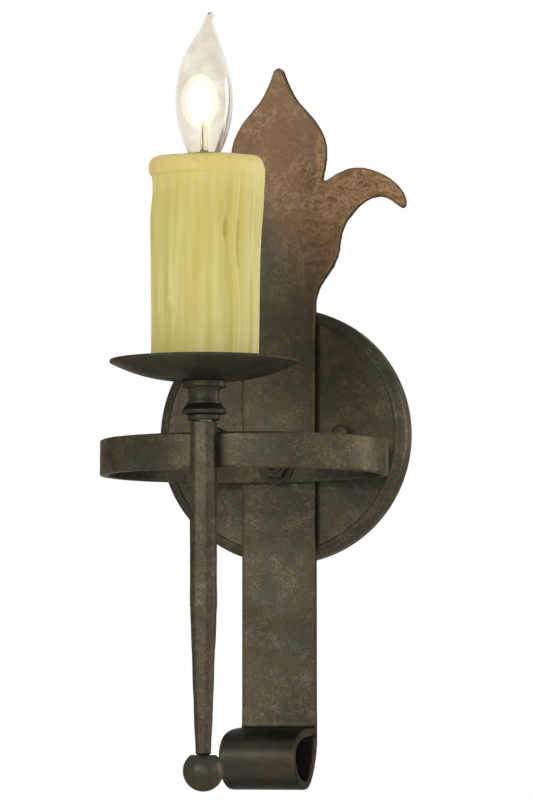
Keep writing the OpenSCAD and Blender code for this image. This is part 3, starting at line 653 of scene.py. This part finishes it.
def candle():
    """A hollow wax sleeve: melted lip, runs of wax down its side and a dimple."""
    outside, side_rows = candle_outside()
    inner_r = CANDLE_R - CANDLE_WALL
    inside = np.array([(CANDLE_HOLE_R, CANDLE_TOP - MM), (CANDLE_HOLE_R, CANDLE_TOP - 5 * MM),
                       (inner_r, CANDLE_TOP - 8 * MM), (inner_r, CANDLE_FOOT)])
    profile = np.vstack([outside, inside])
    rings, azimuth = around(profile, CANDLE_SIDES)
    z = np.broadcast_to(profile[:, 1:2], rings.shape[:2])

    swell = runs(azimuth, z) + melted_lip(azimuth, z) + dimple(azimuth, z)
    on_side = np.zeros(len(profile))
    on_side[:side_rows] = 1
    on_side[side_rows : len(outside)] = np.linspace(1, 0, len(outside) - side_rows)
    out = np.stack([np.sin(azimuth), -np.cos(azimuth), np.zeros(CANDLE_SIDES)], axis=-1)
    rings = rings + out[None] * (swell * on_side[:, None])[..., None]

    rings[..., 0] += (0.6 + 0.8 * (z - CANDLE_FOOT) / (CANDLE_TOP - CANDLE_FOOT)) * MM    # its lean
    front = np.clip(np.cos(azimuth - FRONT_SUNK_TOWARDS), 0, 1)
    sunk = smoothstep(CANDLE_TOP - 16 * MM, CANDLE_TOP - 4 * MM, outside[:, 1])
    rings[: len(outside), :, 2] -= FRONT_SUNK * sunk[:, None] * front[None]
    for row in range(side_rows, len(outside)):
        share = min((row - side_rows) / 12, 1)          # the crown is uneven, its edge is not
        for k in range(CANDLE_SIDES):
            rings[row, k, 2] += share * (0.8 * noise.noise(Vector(rings[row, k]) / (17 * MM)) - 0.45) * MM
    return add_piece("candle_wax_cover", rings.reshape(-1, 3), tube_faces(len(profile), CANDLE_SIDES, True),
                     "candle", MATERIALS["candle_wax"], ["candle_cover"])


def wrapped(angle):
    return (angle + np.pi) % (2 * np.pi) - np.pi


def runs(azimuth, z):
    """Soft runs of wax that start under the lip and end at different heights."""
    rng = np.random.default_rng(23)
    free = np.ones_like(z)
    for i in range(RUN_COUNT):
        centre = 2 * np.pi * (i + rng.uniform(-0.4, 0.4)) / RUN_COUNT
        half = rng.uniform(1.8, 4.4) * MM
        start = CANDLE_TOP - rng.uniform(6, 26) * MM
        end = CANDLE_FOOT + (CANDLE_TOP - CANDLE_FOOT) * max(rng.uniform(-1.2, 0.7), -0.1)
        sway = rng.uniform(0.4, 1.7) * MM * np.sin(z / (rng.uniform(8, 20) * MM) + rng.uniform(0, 6))
        across = wrapped(azimuth - centre) * CANDLE_ROUND * MM - sway
        swollen = half * (1 + 0.35 * np.exp(-(((z - end) / (5 * MM)) ** 2)))
        height = rng.uniform(0.35, 0.9) * np.exp(-(np.abs(across / swollen) ** 3))
        below_start = 1 - smoothstep(start, start + 9 * MM, z)
        height = height * smoothstep(end - 4 * MM, end + 3 * MM, z) * below_start
        free = free * (1 - np.clip(height, 0, 1))
    return (1 - free) * RUN_DEPTH - RUN_FLOOR


def melted_lip(azimuth, z):
    """The lip hangs over in a step on the left and melts into a thick run on the right."""
    wave = np.array([noise.noise(Vector((math.sin(a) * 1.4, math.cos(a) * 1.4, 0.4))) for a in azimuth])
    left = np.clip(np.cos(wrapped(azimuth + math.radians(55))), 0, 1)
    right = np.exp(-((wrapped(azimuth - math.radians(105)) / 0.42) ** 2))
    under = CANDLE_TOP - (11 + 4 * wave) * MM
    step = 1 - smoothstep(under - 1.2 * MM, under + 1.2 * MM, z)
    fade = smoothstep(CANDLE_TOP - 40 * MM, CANDLE_TOP - 14 * MM, z)
    thick = np.exp(-(((z - (CANDLE_TOP - 26 * MM)) / (15 * MM)) ** 2))
    return left * (-1.9 * MM * step * fade - 0.3 * MM * (1 - step)) + right * thick * 1.0 * MM


def dimple(azimuth, z):
    """One almond-shaped hollow on the front of the candle, with a shallow valley on each side of it."""
    def hollow(degrees, height, half_width, half_height, depth):
        across = wrapped(azimuth - math.radians(degrees)) * CANDLE_ROUND
        apart = (across / half_width) ** 2 + ((z / MM - height) / half_height) ** 2
        return -np.exp(-(apart ** 1.5)) * depth * MM
    return hollow(39, 101, 2.2, 6, 1.9) + hollow(52, 92, 1.7, 16, 0.8) + hollow(-12, 96, 1.8, 20, 0.6)


candle()


# ---------------------------------------------------------------------------------- the bulb

GLASS_H = GLASS_HIGH.z - GLASS_LOW.z
GLASS_R = middle("bulb_glass").x - GLASS_LOW.x
GLASS_WALL = 0.8 * MM
GLASS_SIDES = 64
NECK_R = 6.25 * MM
TIP_R = 0.05 * MM
TIP_LEAN = 3.7 * MM
LEAN_START = 0.64                                       # of the glass's height
LEAN_POWER = 1.8
GLOW_CENTRE = TORCH - Vector((2.6 * MM, 0, 0))
GLOW_SIDES, GLOW_ROWS = 48, 25
GLOW_SHELLS = (                                         # name, radius, half height, density
    ("glow_outer", 10.4 * MM, 15.0 * MM, 0.10),
    ("glow_middle", 7.8 * MM, 11.0 * MM, 0.24),
    ("glow_core", 5.2 * MM, 7.6 * MM, 0.60),
)


def flame(wall):
    """Rows of (radius, height) of the flame's outline, moved in by wall."""
    r, h = GLASS_R, GLASS_H
    rows = chained(
        bezier((NECK_R, 0), (r * 0.69, h * 0.112), (r, h * 0.224), (r, h * 0.419), 22),
        bezier((r, h * 0.419), (r, h * 0.647), (r * 0.60, h * 0.765), (r * 0.226, h * 0.906), 24),
        bezier((r * 0.226, h * 0.906), (r * 0.18, h * 0.95), (r * 0.14, h), (r * 0.02, h), 8))
    rows[:, 0] = np.maximum(rows[:, 0] - wall, TIP_R)
    rows[:, 1] = np.minimum(rows[:, 1], h - 2 * wall)
    return rows


def bulb_envelope():
    """Thin blown glass whose tip is drawn over to one side."""
    walls = np.vstack([flame(0), flame(GLASS_WALL)[::-1]])
    rings, _ = around(walls, GLASS_SIDES)
    over = np.clip((walls[:, 1] / GLASS_H - LEAN_START) / (1 - LEAN_START), 0, None) ** LEAN_POWER
    rings[..., 0] += TIP_LEAN * over[:, None]
    rings[..., 2] += GLASS_LOW.z
    return add_piece("bulb_envelope", rings.reshape(-1, 3), tube_faces(len(walls), GLASS_SIDES, True),
                     "bulb", MATERIALS["clear_glass"], ["bulb_glass"])


def filament_glow():
    """The dazzle around the lit filament: closed see-through shells, one inside the other."""
    level = middle("bulb_filament").z
    lift = np.linspace(0, np.pi, GLOW_ROWS + 2)[1:-1]
    for name, radius, half_height, density in GLOW_SHELLS:
        shell = np.stack([radius * np.sin(lift), level - half_height * np.cos(lift)], axis=1)
        rings, _ = around(shell, GLOW_SIDES, GLOW_CENTRE)
        add_piece(name, rings.reshape(-1, 3), tube_faces(GLOW_ROWS, GLOW_SIDES, False),
                  "bulb", glow(name, density))


bulb_envelope()
filament_glow()


# ------------------------------------------------------------------ camera, light and floor

IMAGE_H = 800
SENSOR = 36                                             # millimetres along the longer side
FOCAL_PX = 4030.6
CAMERA_AZIMUTH = math.radians(15.23)
CAMERA_RANGE = 2.4
CAMERA_HEIGHT = -0.1665
CAMERA_PITCH = math.radians(4.493)
CAMERA_YAW = math.radians(15.531)
LAMP_AIM = Vector((0, -0.1, 0))
LAMPS = (                    # name, azimuth, elevation in degrees, distance, width, height, level
    ("key", -15, 10, 2.2, 0.9, 0.9, 0.32),
    ("front", 20, 0, 2.4, 0.8, 1.0, 0.16),
    ("side", 75, 8, 2.2, 0.8, 1.2, 0.10),
    ("rim", 122, 8, 2.2, 0.7, 1.2, 0.34),
)
SURROUND_SEEN = 1.0
SURROUND_LIGHT = 0.44
FLOOR_Z = -0.36
FLOOR_R = 3.0
FLOOR_SEEN = 0.45                                       # added to what the lamps show of the floor


def camera():
    data = bpy.data.cameras.new("camera")
    data.sensor_width = SENSOR
    data.lens = FOCAL_PX / IMAGE_H * data.sensor_width
    data.clip_start, data.clip_end = 0.05, 60
    made = bpy.data.objects.new("camera", data)
    bpy.context.scene.collection.objects.link(made)
    made.location = (CAMERA_RANGE * math.sin(CAMERA_AZIMUTH), -CAMERA_RANGE * math.cos(CAMERA_AZIMUTH),
                     CAMERA_HEIGHT)
    made.rotation_euler = (math.pi / 2 + CAMERA_PITCH, 0, CAMERA_YAW)
    bpy.context.scene.camera = made


def softbox(name, azimuth, elevation, distance, width, height, level):
    """An area light that lights a surface facing it to level, where 1 shows a colour as written."""
    data = bpy.data.lights.new(name, "AREA")
    data.shape = "RECTANGLE"
    data.size, data.size_y = width, height
    data.energy = level * math.pi ** 2 * distance ** 2
    made = bpy.data.objects.new(name, data)
    made.visible_transmission = False                   # or clear glass before a lamp turns white
    bpy.context.scene.collection.objects.link(made)
    a, e = math.radians(azimuth), math.radians(elevation)
    back = Vector((math.sin(a) * math.cos(e), -math.cos(a) * math.cos(e), math.sin(e)))
    made.location = LAMP_AIM + back * distance
    made.rotation_euler = (-back).to_track_quat("-Z", "Y").to_euler()


def shows_backdrop(tree):
    """1 for the rays of the camera, and for those that metal mirrors and glass passes."""
    path = tree.nodes.new("ShaderNodeLightPath")
    total = path.outputs["Is Camera Ray"]
    for kind in ("Is Glossy Ray", "Is Transmission Ray"):
        larger = tree.nodes.new("ShaderNodeMath")
        larger.operation = "MAXIMUM"
        tree.links.new(total, larger.inputs[0])
        tree.links.new(path.outputs[kind], larger.inputs[1])
        total = larger.outputs[0]
    return total


def world():
    """A white surround that lights the object at a plain, lower level."""
    made = bpy.data.worlds.new("studio")
    bpy.context.scene.world = made
    made.use_nodes = True
    tree = made.node_tree
    tree.nodes.clear()
    output = tree.nodes.new("ShaderNodeOutputWorld")
    mixed = tree.nodes.new("ShaderNodeMixShader")
    tree.links.new(shows_backdrop(tree), mixed.inputs[0])
    for index, strength in ((1, SURROUND_LIGHT), (2, SURROUND_SEEN)):
        white = tree.nodes.new("ShaderNodeBackground")
        white.inputs["Color"].default_value = (1, 1, 1, 1)
        white.inputs["Strength"].default_value = strength
        tree.links.new(white.outputs[0], mixed.inputs[index])
    tree.links.new(mixed.outputs[0], output.inputs["Surface"])


def floor():
    bpy.ops.mesh.primitive_circle_add(vertices=96, radius=FLOOR_R, fill_type="NGON", location=(0, 0, FLOOR_Z))
    made = bpy.context.object
    made.name = "floor"
    g = Graph("floor")
    cloud = g.noise(0.4, 4)
    g.set(Base_Color=g.ramp(cloud, (0.3, srgb(244, 244, 243)), (0.7, srgb(250, 250, 249))), Roughness=0.9,
          Emission_Color=(1, 1, 1, 1), Emission_Strength=g.product(shows_backdrop(g.tree), FLOOR_SEEN))
    made.data.materials.append(g.material)


camera()
world()
floor()
for lamp in LAMPS:
    softbox(*lamp)
bpy.context.scene.view_settings.view_transform = "Standard"
